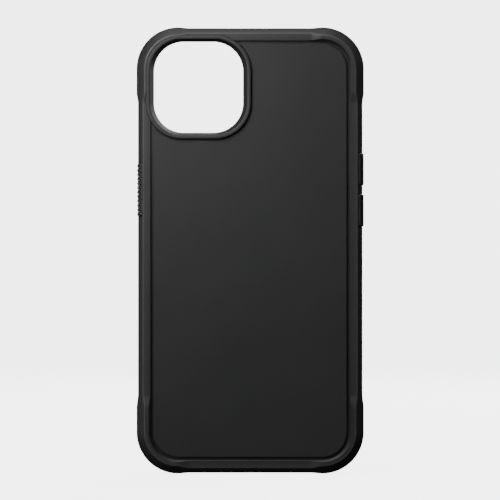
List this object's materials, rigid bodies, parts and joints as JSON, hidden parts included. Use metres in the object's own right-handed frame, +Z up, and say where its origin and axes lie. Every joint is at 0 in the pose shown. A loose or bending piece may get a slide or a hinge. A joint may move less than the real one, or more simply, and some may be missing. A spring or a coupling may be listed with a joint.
{
  "type": "phone case",
  "caption": "Rugged phone case with a soft bumper frame, thick corner blocks, a hard back plate, a raised camera guard ring and pressable side buttons.",
  "frame": {"origin": "bottom centre of the case's box, under the middle of the bottom end", "axes": "+Z up along the case's height, +Y out of the open front towards the screen side, +X to the right when the back is seen"},
  "size_m": [0.0778, 0.0134, 0.1526],
  "materials": {
    "soft_bumper": "fine matte moulded grain",
    "hard_shell": "satin",
    "back_plate": "soft-touch matte",
    "guard_ring": "satin",
    "lining": "brushed microfibre",
    "cushion": "matte foam",
    "magnet": "nickel plated",
    "adhesive_film": "matte",
    "button": "satin"
  },
  "bodies": {
    "case": {"outer_bumper": "soft_bumper", "inner_chassis": "hard_shell", "rear_plate": "back_plate", "plate_bonding_film": "adhesive_film", "camera_guard_ring": "guard_ring", "microfibre_lining": "lining", "corner_cushion_top_right": "cushion", "corner_cushion_top_left": "cushion", "corner_cushion_bottom_left": "cushion", "corner_cushion_bottom_right": "cushion", "ring_magnet_01": "magnet", "ring_magnet_02": "magnet", "ring_magnet_03": "magnet", "ring_magnet_04": "magnet", "ring_magnet_05": "magnet", "ring_magnet_06": "magnet", "ring_magnet_07": "magnet", "ring_magnet_08": "magnet", "ring_magnet_09": "magnet", "ring_magnet_10": "magnet", "ring_magnet_11": "magnet", "ring_magnet_12": "magnet", "ring_magnet_13": "magnet", "ring_magnet_14": "magnet", "ring_magnet_15": "magnet", "ring_magnet_16": "magnet", "ring_magnet_17": "magnet", "ring_magnet_18": "magnet", "alignment_magnet": "magnet", "magnet_carrier_film": "adhesive_film"},
    "power_button": {"power_button": "button"},
    "volume_up_button": {"volume_up_button": "button"},
    "volume_down_button": {"volume_down_button": "button"}
  },
  "joints": [
    {"name": "power_button_press", "type": "slide", "parent": "case", "child": "power_button", "axis": [1, 0, 0], "range_m": [0, 0.0004], "stiffness_N_per_m": 2500},
    {"name": "volume_up_button_press", "type": "slide", "parent": "case", "child": "volume_up_button", "axis": [-1, 0, 0], "range_m": [0, 0.0004], "stiffness_N_per_m": 2500},
    {"name": "volume_down_button_press", "type": "slide", "parent": "case", "child": "volume_down_button", "axis": [-1, 0, 0], "range_m": [0, 0.0004], "stiffness_N_per_m": 2500}
  ]
}
